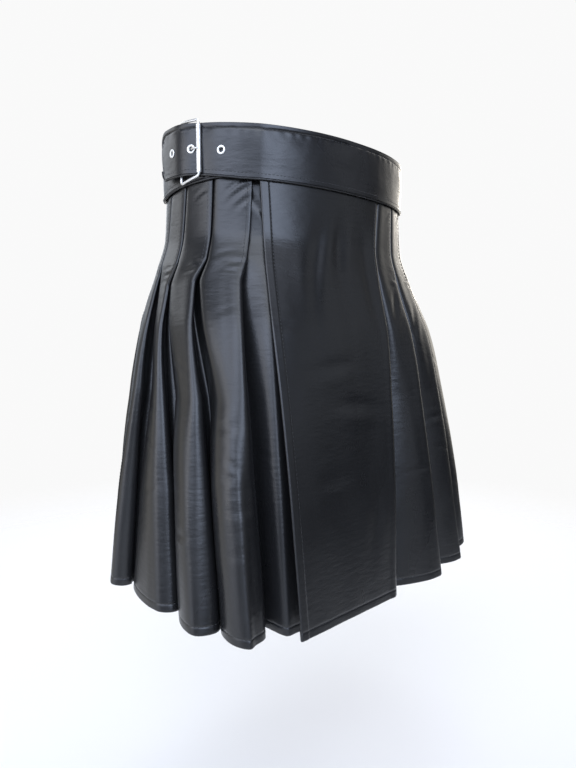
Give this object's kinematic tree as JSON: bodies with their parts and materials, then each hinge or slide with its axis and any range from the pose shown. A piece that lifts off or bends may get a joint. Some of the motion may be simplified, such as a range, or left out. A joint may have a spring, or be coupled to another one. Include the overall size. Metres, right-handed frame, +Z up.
{
  "type": "kilt",
  "caption": "Wrapped leather kilt that hangs open at waist and hem: flat overlapping front apron, knife pleats round the sides and back, wide waistband closed by a strap and roller buckle.",
  "frame": {"origin": "middle of the waist opening, at half the waistband's height, where a waist holds the kilt", "axes": "+Z up along the garment's hanging axis, -Y towards the wearer's front, +X towards the wearer's left"},
  "size_m": [0.5091, 0.3762, 0.5625],
  "materials": {
    "leather": "smooth, semi-gloss, black",
    "metal": "polished nickel plate"
  },
  "bodies": {
    "root": {"waistband_over": "leather", "waistband_under": "leather", "over_apron": "leather", "under_apron": "leather", "pleats_left": "leather", "pleats_back_left": "leather", "pleats_back_right": "leather", "pleats_right": "leather", "buckle_chape": "leather", "buckle_frame": "metal", "buckle_roller": "metal", "buckle_prong": "metal", "eyelet_front": "metal", "eyelet_buckled": "metal", "eyelet_end": "metal"}
  },
  "joints": []
}
